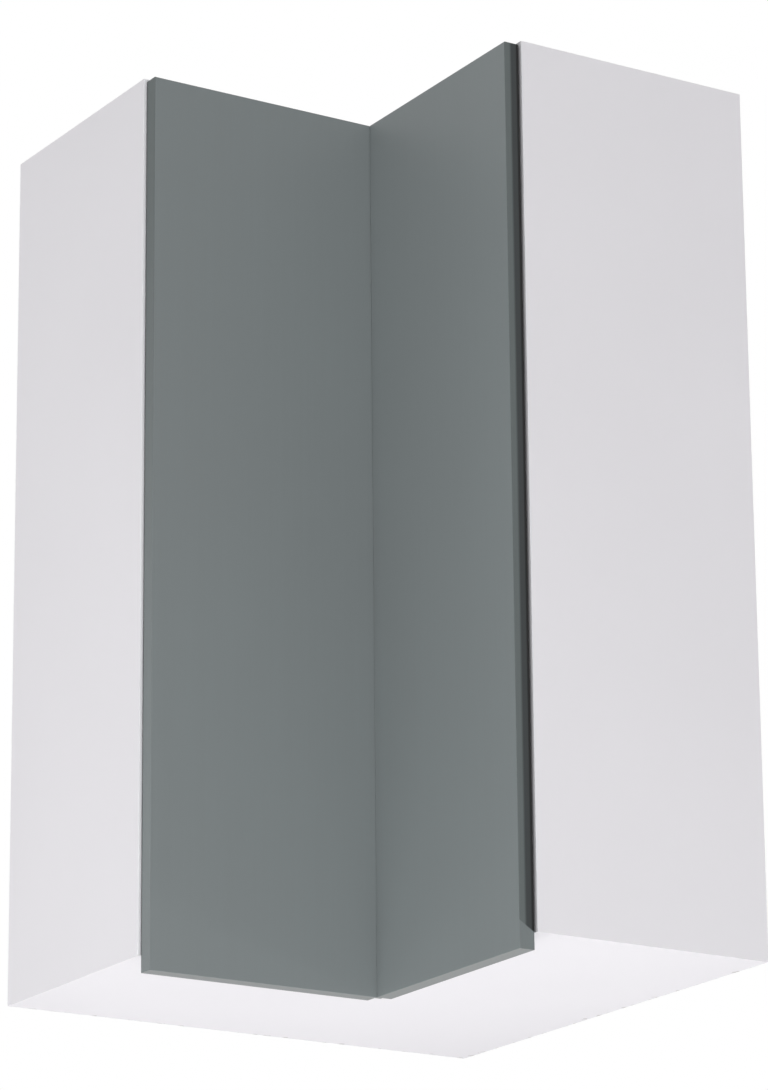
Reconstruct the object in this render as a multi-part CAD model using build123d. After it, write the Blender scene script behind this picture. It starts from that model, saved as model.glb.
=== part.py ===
from build123d import *
import os

# Corner wall cabinet with an L-shaped plan and a folding pair of doors.
# The origin is where the two walls meet, level with the underside of the carcass.
# +X runs along the right-hand wall, -Y along the left-hand wall and +Z is up.
# Both legs are alike, so most left-hand pieces are the right-hand ones mirrored
# in the vertical plane that halves the wall corner.

os.makedirs("parts", exist_ok=True)

# ---------------------------------------------------------------- carcass sizes
leg = 600.0                 # length of the cabinet along each wall
depth = 296.0               # wall to the front of the carcass, edge band included
height = 1000.0             # underside to top of the carcass
board = 16.0                # faced chipboard of the carcass and the shelves
band = 1.0                  # edge band on the front edges

back = 3.0                  # hardboard of the two backs
back_recess = 16.0          # space behind the backs for the wall plates
groove_depth = 8.0          # how far a back is let into its neighbours
groove_play = 0.2           # play of a back in its groove, each side
groove_end_play = 0.5       # play at the bottom of a groove

batten_width = 80.0         # the two battens that stand in the wall corner
fixing_from_corner = 34.0   # wall screw holes through the left batten
fixing_hole_radius = 3.0
fixing_from_end = 100.0     # wall screw holes from either end of the cabinet

# ----------------------------------------------------------------- shelf sizes
shelf_count = 2
shelf_play = 1.0            # shelf to end panels and backs
shelf_set_back = 25.0       # shelf front behind the carcass front
pin_radius = 2.4            # shelf pin that plugs into a board
pin_plug = 8.5
pin_tongue = 11.0           # part of the pin that the shelf lies on
pin_tongue_width = 8.0
pin_tongue_below = 1.5      # underside of the tongue below the pin's axis
pin_tongue_above = 2.5      # top of the tongue above the pin's axis
pin_collar = 1.5
pin_collar_radius = 4.0
pin_row_pitch = 32.0        # a spare hole above and below each pin in use
pin_row_setback = 37.0      # rows of holes behind the front edge and the backs
pin_from_corner = 48.0      # pins that stand in the battens

# ------------------------------------------------------------------ door sizes
door = 18.0                 # thickness of the fronts
door_gap = 2.0              # carcass to the back of a front
door_reveal = 3.0           # outer edge of a front inside the end panel's face
door_drop = 19.0            # the fronts hang below the carcass as a finger grip
door_top_gap = 4.0          # top of the fronts below the top of the carcass
door_seam = 0.4             # end of each front to the corner line between them
door_edge_radius = 0.5
bumper_radius = 4.0
bumper_play = 0.2           # bumper to the edge that it stops on
bumper_from_end = 20.0

# ------------------------------------------------------------------- fasteners
fit = 0.1                   # radial play of pins, dowels and screws in their holes
dowel_radius = 4.0
dowel_length = 30.0
dowel_in_panel = 12.0
dowel_chamfer = 1.0
dowel_end_play = 0.5
joint_rows = (60.0, 236.0)  # cam fittings, measured from the wall
dowel_rows = (92.0, 204.0)  # dowels, measured from the wall
cam_radius = 7.4
cam_height = 12.5
cam_reach = 34.0            # end of the board to the centre of the cam
cam_cap = 1.0
cam_cap_radius = 8.6
bolt_thread_radius = 2.5
bolt_thread_length = 11.0
bolt_shank_radius = 3.3
bolt_neck_radius = 1.8
bolt_neck_length = 5.0
bolt_head_radius = 3.0
bolt_head_length = 3.0
bolt_to_cam_play = 0.4
back_screw_radius = 1.7
back_screw_length = 14.0
back_screw_from_end = 60.0
back_screw_from_corner = 68.0

# --------------------------------------------------------------------- hangers
hanger_depth = 40.0         # along the end panel, from the back forwards
hanger_width = 18.0
hanger_height = 60.0
hanger_below_top = 10.0
hanger_peg_radius = 5.0
hanger_peg_length = 11.0
hanger_peg_pitch = 32.0
hanger_corner = 3.0
hanger_lid = 3.0
hook_plate = 2.5            # thickness of the steel hook
hook_arm = 18.0             # height of the hook's arm
hook_tooth = 12.0           # how far the tooth hangs below the arm
hook_tooth_width = 3.0
hook_from_wall = 1.5
hook_inside = 36.0          # how far the hook reaches in front of the back
hook_play = 0.3
hanger_slot_height = 42.0   # slot in the back that lets the hook through
hanger_slot_width = 12.0
adjuster_radius = 2.5
adjuster_head_radius = 4.2
adjuster_head = 2.0
adjuster_length = 14.0
adjuster_pitch = 30.0

# --------------------------------------------------------------------- hinges
hinge_from_bottom = 160.0   # lowest hinge above the underside of the carcass
hinge_from_top = 136.0      # highest hinge below the top of the carcass
swing_from_edge = 6.0       # swing axis inside the right front's outer edge
swing_from_face = 8.0       # swing axis behind the right front's face
cup_radius = 17.4
cup_from_edge = 22.0        # cup centre from the end of the front
cup_depth = 12.5
cup_wall = 1.2
cup_flange = 1.2
cup_flange_radius = 19.0
cup_play = 0.1
cup_screw_pitch = 48.0
cup_screw_offset = 6.0      # screws further from the front's end than the cup
cup_ear_radius = 5.5
cup_rib_from_centre = 5.0   # two ribs in the cup carry the pin of the link
cup_rib = 2.0
cup_rib_width = 8.0
cup_pin_offset = 2.0        # pin nearer to the front's end than the cup centre
cup_pin_below_face = 1.0
plate_setback = 37.0        # screw line of a mounting plate behind the edge
plate_wing = 2.0
plate_wing_width = 16.0
plate_height = 52.0
plate_screw_pitch = 32.0
saddle_width = 13.4
saddle_back = 24.0          # saddle behind and ahead of the screw line
saddle_front = 16.0
arm_wall = 1.5
arm_inside = 14.0           # clear width between the cheeks of an arm
arm_lift = 3.0              # lower edge of the cheeks above the board
arm_height = 15.5           # outside of the web above the board
arm_back = 32.0             # arm behind and ahead of the screw line
arm_web_front = 10.0
arm_nose_radius = 4.2
saddle_play = 0.3
swing_arm_pin = (15.0, 30.0)    # link pin: above the board, ahead of the screws
fold_arm_pin = (-15.0, 64.0)
fold_arm_elbow = (8.5, 58.0)    # where the folding arm turns round the corner
link_pin_radius = 1.2
link_plate = 1.5            # side plates of an arm link
link_plate_from_centre = 4.2
link_plate_radius = 3.2
cup_link_half = 3.7         # half the thickness of a cup link
cup_link_radius = 2.6
stub_inner_end = 4.0        # stub pins of the arm start here, clear of the cup link
screw_radius = 2.5          # mounting plate screws
screw_length = 11.0
screw_head_radius = 4.4
screw_head = 1.6
cup_screw_radius = 1.75
cup_screw_length = 11.0
cup_screw_head_radius = 3.5
cup_screw_head = 1.2
arm_screw_radius = 2.0
arm_screw_length = 8.0
arm_screw_head_radius = 3.4
arm_screw_head = 1.8
hole_extra = 1.0            # blind holes run this much past the screw's tip

# -------------------------------------------------------------- derived places
inside = leg - board                    # inner face of an end panel
carcass_front = depth - band            # front of the boards, behind the band
back_front = back_recess + back         # front face of the backs
door_back = depth + door_gap            # back face of the fronts
corner = door_back + door               # corner line between the front faces
door_end = corner + door_seam
door_outer = leg - door_reveal
door_low = -door_drop
door_high = height - door_top_gap
swing_axis = (door_outer - swing_from_edge, -(corner - swing_from_face))
shelf_front = depth - shelf_set_back
shelf_space = (height - (2 + shelf_count) * board) / (shelf_count + 1)
shelf_levels = [board + shelf_space + n * (shelf_space + board) for n in range(shelf_count)]
pin_levels = [level - pin_tongue_above for level in shelf_levels]
pin_rows = (back_front + pin_row_setback, depth - pin_row_setback)
fixing_heights = (fixing_from_end, height - fixing_from_end)
back_screw_heights = (back_screw_from_end, height / 2, height - back_screw_from_end)
hinge_top = height - hinge_from_top
hinge_heights = (hinge_from_bottom, (hinge_from_bottom + hinge_top) / 2, hinge_top)
halving_plane = Plane(origin=(0, 0, 0), z_dir=(1, 1, 0))


# ------------------------------------------------------------ small form makers
def block(x_span, y_span, z_span):
    """A board or bar between two values on each axis."""
    spans = (x_span, y_span, z_span)
    size = [abs(high - low) for low, high in spans]
    middle = [(low + high) / 2 for low, high in spans]
    return Pos(*middle) * Box(*size)


def slab(outline, z_low, z_high):
    """A plan outline raised from one level to another."""
    return Pos(0, 0, z_low) * extrude(outline, z_high - z_low)


def rod(start, direction, length, radius):
    """A round bar or hole from a point along a direction."""
    place = Plane(origin=start, z_dir=direction)
    return place * Pos(0, 0, length / 2) * Cylinder(radius, length)


def turned(start, direction, steps):
    """Round steps along one axis, each a (radius, length) pair."""
    solid = None
    reached = 0.0
    for radius, length in steps:
        step = Pos(0, 0, reached + length / 2) * Cylinder(radius, length)
        solid = step if solid is None else solid + step
        reached += length
    return Plane(origin=start, z_dir=direction) * solid


def bar_outline(first, second, radius):
    """Two round ends joined by straight sides."""
    ends = Pos(*first) * Circle(radius) + Pos(*second) * Circle(radius)
    return make_hull(ends.edges())


def other_leg(solid):
    """The same piece on the left-hand leg."""
    return mirror(solid, about=halving_plane)


def save(name, *solids):
    """Write one sub-part, which may be a group of like solids."""
    flat = [single for solid in solids for single in solid.solids()]
    export_step(flat[0] if len(flat) == 1 else Compound(children=flat), f"parts/{name}.step")


# --------------------------------------------------------- hole and pin patterns
def end_joint_places():
    """Middle heights of the two boards that meet an end panel."""
    return (board / 2, height - board / 2)


def pin_heights():
    """Every shelf pin hole: the one in use and a spare each way."""
    return [level + step * pin_row_pitch for level in pin_levels for step in (-1, 0, 1)]


def hanger_middle():
    return height - board - hanger_below_top - hanger_height / 2


# --------------------------------------------------------------------- end panels
def make_end_panel(hinged):
    panel = block((inside, leg), (-carcass_front, 0), (0, height))
    groove_low = board - groove_depth
    panel -= block((inside, inside + groove_depth),
                   (-back_front - groove_play, -back_recess + groove_play),
                   (groove_low, height - groove_low))
    for level in end_joint_places():
        for row in joint_rows:
            panel -= rod((inside, -row, level), (1, 0, 0),
                         bolt_thread_length + hole_extra, bolt_thread_radius + fit)
        for row in dowel_rows:
            panel -= rod((inside, -row, level), (1, 0, 0),
                         dowel_in_panel + dowel_end_play, dowel_radius + fit)
    for row in pin_rows:
        for level in pin_heights():
            panel -= rod((inside, -row, level), (1, 0, 0), pin_plug + hole_extra, pin_radius + fit)
    for side in (-1, 1):
        peg_level = hanger_middle() + side * hanger_peg_pitch / 2
        panel -= rod((inside, -back_front - hanger_depth / 2, peg_level), (1, 0, 0),
                     hanger_peg_length + hole_extra, hanger_peg_radius + fit)
    if hinged:
        for middle in hinge_heights:
            for side in (-1, 1):
                panel -= rod((inside, -(depth - plate_setback), middle + side * plate_screw_pitch / 2),
                             (1, 0, 0), screw_length + hole_extra, screw_radius + fit)
    return panel


save("right_end_panel", make_end_panel(hinged=True))
save("left_end_panel", other_leg(make_end_panel(hinged=False)))

end_band = block((inside, leg), (-depth, -carcass_front), (0, height))
save("right_end_band", end_band)
save("left_end_band", other_leg(end_band))


# ------------------------------------------------- L-shaped boards, bottom and top
def l_outline(near, front, far):
    """Plan of an L: back edges at near, front edges at front, ends at far."""
    points = [(near, -near), (far, -near), (far, -front), (front, -front),
              (front, -far), (near, -far)]
    return make_face(Polyline(*points, close=True))


def l_bands(front, far, z_low, z_high):
    """The two strips of band on the front edges of an L-shaped board."""
    right = block((front, far), (-front - band, -front), (z_low, z_high))
    left = block((front, front + band), (-far, -front - band), (z_low, z_high))
    return right, left


def both_ways(cutter):
    return cutter + other_leg(cutter)


def make_l_board(low, groove_span, batten_dowel_start, batten_dowel_way):
    """Bottom or top: grooves on the inner face, cams let in from above."""
    solid = slab(l_outline(0, carcass_front, inside), low, low + board)
    solid -= both_ways(block((back_recess - groove_play, inside),
                             (-back_front - groove_play, -back_recess + groove_play), groove_span))
    level = low + board / 2
    for row in joint_rows:
        bore = rod((inside, -row, level), (-1, 0, 0), cam_reach, bolt_shank_radius + fit)
        bore += rod((inside - cam_reach, -row, low + board), (0, 0, -1), cam_height, cam_radius + fit)
        solid -= both_ways(bore)
    for row in dowel_rows:
        solid -= both_ways(rod((inside, -row, level), (-1, 0, 0),
                               dowel_length - dowel_in_panel + dowel_end_play, dowel_radius + fit))
    for place in batten_dowel_places():
        solid -= rod((*place, batten_dowel_start), (0, 0, batten_dowel_way),
                     dowel_in_panel - dowel_end_play, dowel_radius + fit)
    return solid


def batten_dowel_places():
    """Plan places of the dowels in the two battens."""
    middle = back_recess / 2
    return ((batten_width / 2, -middle), (middle, -(back_recess + batten_width / 2)))


save("bottom_board", make_l_board(0, (board - groove_depth, board), board, -1))
save("top_board", make_l_board(height - board, (height - board, height - board + groove_depth),
                               height - board, 1))
save("bottom_bands", *l_bands(carcass_front, inside, 0, board))
save("top_bands", *l_bands(carcass_front, inside, height - board, height))

# ------------------------------------------------------------------------ shelves
for name, level in zip(("lower_shelf", "upper_shelf"), shelf_levels):
    outline = l_outline(back_front + shelf_play, shelf_front - band, inside - shelf_play)
    save(name, slab(outline, level, level + board))
    save(f"{name}_bands", *l_bands(shelf_front - band, inside - shelf_play, level, level + board))


def make_shelf_pin():
    """Plug along +X, tongue along -X, and a flat top for the shelf."""
    pin = rod((-pin_collar, 0, 0), (1, 0, 0), pin_collar, pin_collar_radius)
    pin -= block((-pin_collar, 0), (-pin_collar_radius, pin_collar_radius),
                 (pin_tongue_above, pin_collar_radius))
    pin += rod((0, 0, 0), (1, 0, 0), pin_plug, pin_radius)
    tip = Pos(-pin_tongue + pin_tongue_width / 2, 0) * Circle(pin_tongue_width / 2)
    strip = Pos(-pin_tongue / 2 + pin_tongue_width / 4, 0) * Rectangle(
        pin_tongue - pin_tongue_width / 2, pin_tongue_width)
    pin += slab(tip + Pos(-pin_collar / 2, 0) * strip, -pin_tongue_below, pin_tongue_above)
    return pin


shelf_pin = make_shelf_pin()
pins = []
for level in pin_levels:
    for row in pin_rows:
        pins.append(Pos(inside, -row, level) * shelf_pin)
        pins.append(Pos(row, -inside, level) * Rot(0, 0, -90) * shelf_pin)
    pins.append(Pos(pin_from_corner, -back_front, level) * Rot(0, 0, 90) * shelf_pin)
    pins.append(Pos(back_front, -pin_from_corner, level) * Rot(0, 0, 180) * shelf_pin)
save("shelf_pins", *pins)


# -------------------------------------------------------------- backs and battens
def make_back(start):
    """Right-hand back from a start near the corner to the end panel's groove."""
    reach = groove_depth - groove_end_play
    solid = block((start, inside + reach), (-back_front, -back_recess),
                  (board - reach, height - board + reach))
    solid -= block((inside - hanger_width / 2 - hanger_slot_width / 2,
                    inside - hanger_width / 2 + hanger_slot_width / 2),
                   (-back_front, -back_recess),
                   (hanger_middle() - hanger_slot_height / 2, hanger_middle() + hanger_slot_height / 2))
    for level in pin_heights():
        solid -= rod((pin_from_corner, -back_front, level), (0, 1, 0), back, pin_radius + fit)
    for level in back_screw_heights:
        solid -= rod((back_screw_from_corner, -back_front, level), (0, 1, 0),
                     back, back_screw_radius + fit)
    return solid


def make_batten(start, holes):
    """Right-hand batten against the wall, behind the back."""
    solid = block((start, start + batten_width), (-back_recess, 0), (board, height - board))
    for level in pin_heights():
        solid -= rod((pin_from_corner, -back_recess, level), (0, 1, 0),
                     pin_plug - back + hole_extra, pin_radius + fit)
    for level in back_screw_heights:
        solid -= rod((back_screw_from_corner, -back_recess, level), (0, 1, 0),
                     back_screw_length - back + hole_extra, back_screw_radius + fit)
    dowel_hole = dowel_length - dowel_in_panel + 2 * dowel_end_play
    for level, way in ((board, 1), (height - board, -1)):
        solid -= rod((start + batten_width / 2, -back_recess / 2, level), (0, 0, way),
                     dowel_hole, dowel_radius + fit)
    for level in holes:
        solid -= rod((fixing_from_corner, -back_recess, level), (0, 1, 0),
                     back_recess, fixing_hole_radius)
    return solid


def make_left_back():
    solid = other_leg(make_back(back_front))
    for level in fixing_heights:
        solid -= rod((back_front, -fixing_from_corner, level), (-1, 0, 0), back, fixing_hole_radius)
    return solid


save("right_back", make_back(back_recess))
save("left_back", make_left_back())
save("right_corner_batten", make_batten(0, ()))
save("left_corner_batten", other_leg(make_batten(back_recess, fixing_heights)))

back_screw = turned((0, 0, 0), (0, 0, -1), ((back_screw_radius, back_screw_length),))
back_screw += Cylinder(cup_screw_head_radius, cup_screw_head, align=(Align.CENTER, Align.CENTER, Align.MIN))
back_screws = []
for level in back_screw_heights:
    screw = Plane(origin=(back_screw_from_corner, -back_front, level), z_dir=(0, -1, 0)) * back_screw
    back_screws += [screw, other_leg(screw)]
save("back_screws", *back_screws)


# --------------------------------------------------------- dowels, cams and bolts
def make_dowel(start, direction):
    dowel = chamfer(Cylinder(dowel_radius, dowel_length).edges().filter_by(GeomType.CIRCLE), dowel_chamfer)
    return Plane(origin=start, z_dir=direction) * Pos(0, 0, dowel_length / 2 - dowel_in_panel) * dowel


dowels = []
for level in end_joint_places():
    for row in dowel_rows:
        dowel = make_dowel((inside, -row, level), (-1, 0, 0))
        dowels += [dowel, other_leg(dowel)]
dowel_tip = dowel_end_play * 2      # a batten's dowel starts this much short of full depth
for level, way in ((board, 1), (height - board, -1)):
    for place in batten_dowel_places():
        dowels.append(make_dowel((*place, level + way * dowel_tip), (0, 0, way)))
save("carcass_dowels", *dowels)


def make_cam_bolt(row, level):
    """Screwed into the end panel, with its head caught in the cam."""
    bolt = rod((inside, -row, level), (1, 0, 0), bolt_thread_length, bolt_thread_radius)
    to_head = cam_reach + bolt_head_length / 2
    shank = to_head - bolt_head_length - bolt_neck_length
    steps = ((bolt_shank_radius, shank), (bolt_neck_radius, bolt_neck_length),
             (bolt_head_radius, bolt_head_length))
    return bolt + turned((inside, -row, level), (-1, 0, 0), steps)


def make_cam(row, low):
    """Disc with a mouth for the bolt's head and a cross slot on top."""
    centre = (inside - cam_reach, -row)
    top = low + board
    cam = rod((*centre, top), (0, 0, -1), cam_height, cam_radius)
    half = bolt_head_radius + bolt_to_cam_play
    mouth = block((centre[0] - half, centre[0] + cam_radius), (centre[1] - half, centre[1] + half),
                  (low + board / 2 - half, low + board / 2 + half))
    return cam - mouth


bolts, cams, caps = [], [], []
for row in joint_rows:
    for low in (0, height - board):
        bolt = make_cam_bolt(row, low + board / 2)
        cam = make_cam(row, low)
        bolts += [bolt, other_leg(bolt)]
        cams += [cam, other_leg(cam)]
    # Only the cams inside the cabinet are covered; those on top are out of sight.
    cap = rod((inside - cam_reach, -row, board), (0, 0, 1), cam_cap, cam_cap_radius)
    caps += [cap, other_leg(cap)]
save("cam_bolts", *bolts)
save("cam_discs", *cams)
save("cam_caps", *caps)

# ------------------------------------------------------------------------ hangers
hook_line = inside - hanger_width / 2               # plan line of the hook and its screws
hook_level = hanger_middle()
hanger_front = -back_front - hanger_depth
hook_end = -back_front - hook_inside


def make_hanger_housing():
    body = block((inside - hanger_width, inside), (hanger_front, -back_front),
                 (hook_level - hanger_height / 2, hook_level + hanger_height / 2))
    body = fillet(body.edges().filter_by(Axis.Z).sort_by(Axis.X)[:2], hanger_corner)
    body -= block((hook_line - hook_plate / 2 - hook_play, hook_line + hook_plate / 2 + hook_play),
                  (hook_end - hook_play, -back_front),
                  (hook_level - hook_arm / 2 - hook_play, hook_level + hook_arm / 2 + hook_play))
    for side in (-1, 1):
        body += rod((inside, -back_front - hanger_depth / 2, hook_level + side * hanger_peg_pitch / 2),
                    (1, 0, 0), hanger_peg_length, hanger_peg_radius)
        adjuster = (hook_line, hanger_front, hook_level + side * adjuster_pitch / 2)
        body -= rod(adjuster, (0, 1, 0), adjuster_length + hole_extra, adjuster_radius + fit)
        body -= rod(adjuster, (0, 1, 0), adjuster_head, adjuster_head_radius + fit)
    return body


def make_hook():
    """Steel plate on edge: an arm in the housing and a tooth behind the back."""
    low = hook_level - hook_arm / 2
    high = hook_level + hook_arm / 2
    wall_end = -hook_from_wall
    tooth_front = wall_end - hook_tooth_width
    points = [(hook_end, high), (wall_end, high), (wall_end, low - hook_tooth),
              (tooth_front, low - hook_tooth), (tooth_front, low), (hook_end, low)]
    side = Plane(origin=(hook_line - hook_plate / 2, 0, 0), x_dir=(0, 1, 0), z_dir=(1, 0, 0))
    return extrude(side * make_face(Polyline(*points, close=True)), hook_plate)


def make_adjusters():
    steps = ((adjuster_head_radius, adjuster_head), (adjuster_radius, adjuster_length - adjuster_head))
    return [turned((hook_line, hanger_front, hook_level + side * adjuster_pitch / 2), (0, 1, 0), steps)
            for side in (-1, 1)]


def make_hanger_cover():
    cover = block((inside - hanger_width, inside), (hanger_front - hanger_lid, hanger_front),
                  (hook_level - hanger_height / 2, hook_level + hanger_height / 2))
    return chamfer(cover.faces().sort_by(Axis.Y)[0].edges(), hanger_lid / 3)


for name, pieces in (("hanger_housings", [make_hanger_housing()]), ("hanger_hooks", [make_hook()]),
                     ("hanger_screws", make_adjusters()), ("hanger_covers", [make_hanger_cover()])):
    save(name, *pieces, *[other_leg(piece) for piece in pieces])


# -------------------------------------------------------- hinge pieces, made once
# A mounting plate and its arm are drawn on a board's face, about the middle of
# the plate's screw line: x is away from the face and y is towards the edge.
def make_plate():
    wing = slab(Pos(plate_wing / 2, 0) * Rectangle(plate_wing, plate_wing_width),
                -plate_height / 2, plate_height / 2)
    wing = fillet(wing.edges().filter_by(Axis.X), plate_wing_width / 4)
    saddle_top = arm_height - arm_wall - saddle_play
    saddle = block((0, saddle_top), (-saddle_back, saddle_front), (-saddle_width / 2, saddle_width / 2))
    plate = wing + saddle
    for side in (-1, 1):
        plate -= rod((0, 0, side * plate_screw_pitch / 2), (1, 0, 0), plate_wing, screw_radius + fit)
    plate -= rod((saddle_top, 0, 0), (-1, 0, 0), arm_screw_length, arm_screw_radius + fit)
    return plate


def make_plate_screw(side):
    steps = ((screw_head_radius, screw_head), (screw_radius, plate_wing + screw_length))
    return turned((plate_wing + screw_head, 0, side * plate_screw_pitch / 2), (-1, 0, 0), steps)


def make_arm_screw():
    shank = arm_wall + arm_screw_length - hole_extra
    steps = ((arm_screw_head_radius, arm_screw_head), (arm_screw_radius, shank))
    return turned((arm_height + arm_screw_head, 0, 0), (-1, 0, 0), steps)


def make_arm(joints):
    """Pressed channel: a web, two cheeks and a stub pin in each cheek.

    joints are the plan points that the cheeks lead through; the last is the pin.
    """
    channel = Pos((arm_lift + arm_height) / 2, (arm_web_front - arm_back) / 2) * Rectangle(
        arm_height - arm_lift, arm_back + arm_web_front)
    throat = Pos((arm_lift + arm_height) / 2, arm_web_front - arm_nose_radius) * Rectangle(
        arm_height - arm_lift, 2 * arm_nose_radius)
    first = Pos(*joints[0]) * Circle(arm_nose_radius)
    cheek = channel + make_hull((throat + first).edges())
    for near, far in zip(joints, joints[1:]):
        cheek += bar_outline(near, far, arm_nose_radius)
    inner = arm_inside / 2
    outer = inner + arm_wall
    arm = slab(cheek, -outer, -inner) + slab(cheek, inner, outer)
    arm += block((arm_height - arm_wall, arm_height), (-arm_back, arm_web_front), (-outer, outer))
    arm -= rod((arm_height, 0, 0), (-1, 0, 0), arm_wall, arm_screw_radius + fit)
    for side in (-1, 1):
        arm += rod((*joints[-1], side * stub_inner_end), (0, 0, side),
                   outer - stub_inner_end, link_pin_radius)
    return arm


# A cup is drawn on the back of a front, about its own centre: x is out of the
# back face and y is towards the front's near end.
def make_cup():
    pin = (-cup_pin_below_face, cup_pin_offset)
    solid = rod((0, 0, 0), (-1, 0, 0), cup_depth, cup_radius)
    rim = Circle(cup_flange_radius)
    for side in (-1, 1):
        rim += Pos(-cup_screw_offset, side * cup_screw_pitch / 2) * Circle(cup_ear_radius)
    face = Plane(origin=(0, 0, 0), x_dir=(0, 1, 0), z_dir=(1, 0, 0))
    solid += extrude(face * make_hull(rim.edges()), cup_flange)
    solid -= rod((cup_flange, 0, 0), (-1, 0, 0), cup_flange + cup_depth - cup_wall, cup_radius - cup_wall)
    rib_out = cup_rib_from_centre + cup_rib
    for side in (-1, 1):
        low, high = sorted((side * cup_rib_from_centre, side * rib_out))
        solid += block((-cup_depth + cup_wall / 2, cup_flange),
                       (pin[1] - cup_rib_width / 2, pin[1] + cup_rib_width / 2), (low, high))
        solid -= rod((0, -cup_screw_offset, side * cup_screw_pitch / 2), (1, 0, 0),
                     cup_flange, cup_screw_radius + fit)
    solid += rod((*pin, -rib_out), (0, 0, 1), 2 * rib_out, link_pin_radius)
    return solid


def make_cup_screw(side):
    steps = ((cup_screw_head_radius, cup_screw_head), (cup_screw_radius, cup_flange + cup_screw_length))
    return turned((cup_flange + cup_screw_head, -cup_screw_offset, side * cup_screw_pitch / 2),
                  (-1, 0, 0), steps)


def cut_cup_holes(front, place):
    """Bore for a cup and its two screws in the back of a front."""
    front -= place * rod((0, 0, 0), (-1, 0, 0), cup_depth + cup_play, cup_radius + cup_play)
    for side in (-1, 1):
        front -= place * rod((0, -cup_screw_offset, side * cup_screw_pitch / 2), (-1, 0, 0),
                             cup_screw_length + hole_extra, cup_screw_radius + fit)
    return front


def make_arm_link(arm_pin, elbow):
    """Two side plates that turn on the arm's stubs, with the elbow pin between."""
    outline = bar_outline(arm_pin, elbow, link_plate_radius) - Pos(*arm_pin) * Circle(link_pin_radius + fit)
    near, far = link_plate_from_centre, link_plate_from_centre + link_plate
    return (slab(outline, near, far) + slab(outline, -far, -near)
            + rod((*elbow, -far), (0, 0, 1), 2 * far, link_pin_radius))


def make_cup_link(cup_pin, elbow):
    """One solid bar with an eye on the cup's pin and an eye on the elbow pin."""
    outline = bar_outline(cup_pin, elbow, cup_link_radius)
    for eye in (cup_pin, elbow):
        outline -= Pos(*eye) * Circle(link_pin_radius + fit)
    return slab(outline, -cup_link_half, cup_link_half)


def plan_point(place, point):
    """Where a point drawn on a board's face lies in plan."""
    where = place * Pos(point[0], point[1], 0)
    return (where.position.X, where.position.Y)


def elbow_point(arm_pin, cup_pin, axis):
    """The links are opposite sides of a parallelogram about the door's axis, so
    they stay joined at every angle: the arm link turns with the door, and the
    cup link stays parallel to itself.
    """
    return tuple(a + c - o for a, c, o in zip(arm_pin, cup_pin, axis))


def at_heights(solid):
    return [Pos(0, 0, level) * solid for level in hinge_heights]


cup_pin_point = (-cup_pin_below_face, cup_pin_offset)

# ------------------------------------------ hinges of the right front on its panel
panel_face = Pos(inside, -(depth - plate_setback), 0) * Rot(0, 0, 180)
right_cup_place = Pos(door_outer - cup_from_edge, -door_back, 0) * Rot(0, 0, 90) * Rot(180, 0, 0)
swing_arm_point = plan_point(panel_face, swing_arm_pin)
swing_cup_point = plan_point(right_cup_place, cup_pin_point)
swing_elbow = elbow_point(swing_arm_point, swing_cup_point, swing_axis)

save("hinge_plates", *at_heights(panel_face * make_plate()))
save("hinge_plate_screws", *[piece for side in (-1, 1)
                             for piece in at_heights(panel_face * make_plate_screw(side))])
save("hinge_arms", *at_heights(panel_face * make_arm([swing_arm_pin])))
save("hinge_arm_screws", *at_heights(panel_face * make_arm_screw()))
save("hinge_cups", *at_heights(right_cup_place * make_cup()))
save("hinge_cup_screws", *[piece for side in (-1, 1)
                           for piece in at_heights(right_cup_place * make_cup_screw(side))])
save("hinge_arm_links", *at_heights(make_arm_link(swing_arm_point, swing_elbow)))
save("hinge_cup_links", *at_heights(make_cup_link(swing_cup_point, swing_elbow)))

# ------------------------------------- folding hinges between the right and left front
front_face = Pos(door_end + plate_setback, -door_back, 0) * Rot(0, 0, 90)
left_cup_place = Pos(door_back, -(door_end + cup_from_edge), 0) * Rot(0, 0, 180) * Rot(180, 0, 0)
fold_arm_point = plan_point(front_face, fold_arm_pin)
fold_cup_point = plan_point(left_cup_place, cup_pin_point)
fold_elbow = elbow_point(fold_arm_point, fold_cup_point, (corner, -corner))

save("fold_plates", *at_heights(front_face * make_plate()))
save("fold_plate_screws", *[piece for side in (-1, 1)
                            for piece in at_heights(front_face * make_plate_screw(side))])
save("fold_arms", *at_heights(front_face * make_arm([fold_arm_elbow, fold_arm_pin])))
save("fold_arm_screws", *at_heights(front_face * make_arm_screw()))
save("fold_cups", *at_heights(left_cup_place * make_cup()))
save("fold_cup_screws", *[piece for side in (-1, 1)
                          for piece in at_heights(left_cup_place * make_cup_screw(side))])
save("fold_arm_links", *at_heights(make_arm_link(fold_arm_point, fold_elbow)))
save("fold_cup_links", *at_heights(make_cup_link(fold_cup_point, fold_elbow)))


# ------------------------------------------------------------------------- fronts
def make_front():
    """Right front: square-ended, with its face edges rounded."""
    front = block((door_end, door_outer), (-corner, -door_back), (door_low, door_high))
    return fillet(front.faces().sort_by(Axis.Y)[0].edges(), door_edge_radius)


right_front = make_front()
left_front = other_leg(make_front())
for level in hinge_heights:
    right_front = cut_cup_holes(right_front, Pos(0, 0, level) * right_cup_place)
    left_front = cut_cup_holes(left_front, Pos(0, 0, level) * left_cup_place)
    for side in (-1, 1):
        right_front -= rod((door_end + plate_setback, -door_back, level + side * plate_screw_pitch / 2),
                           (0, -1, 0), screw_length + hole_extra, screw_radius + fit)
save("right_door", right_front)
save("left_door", left_front)

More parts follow.
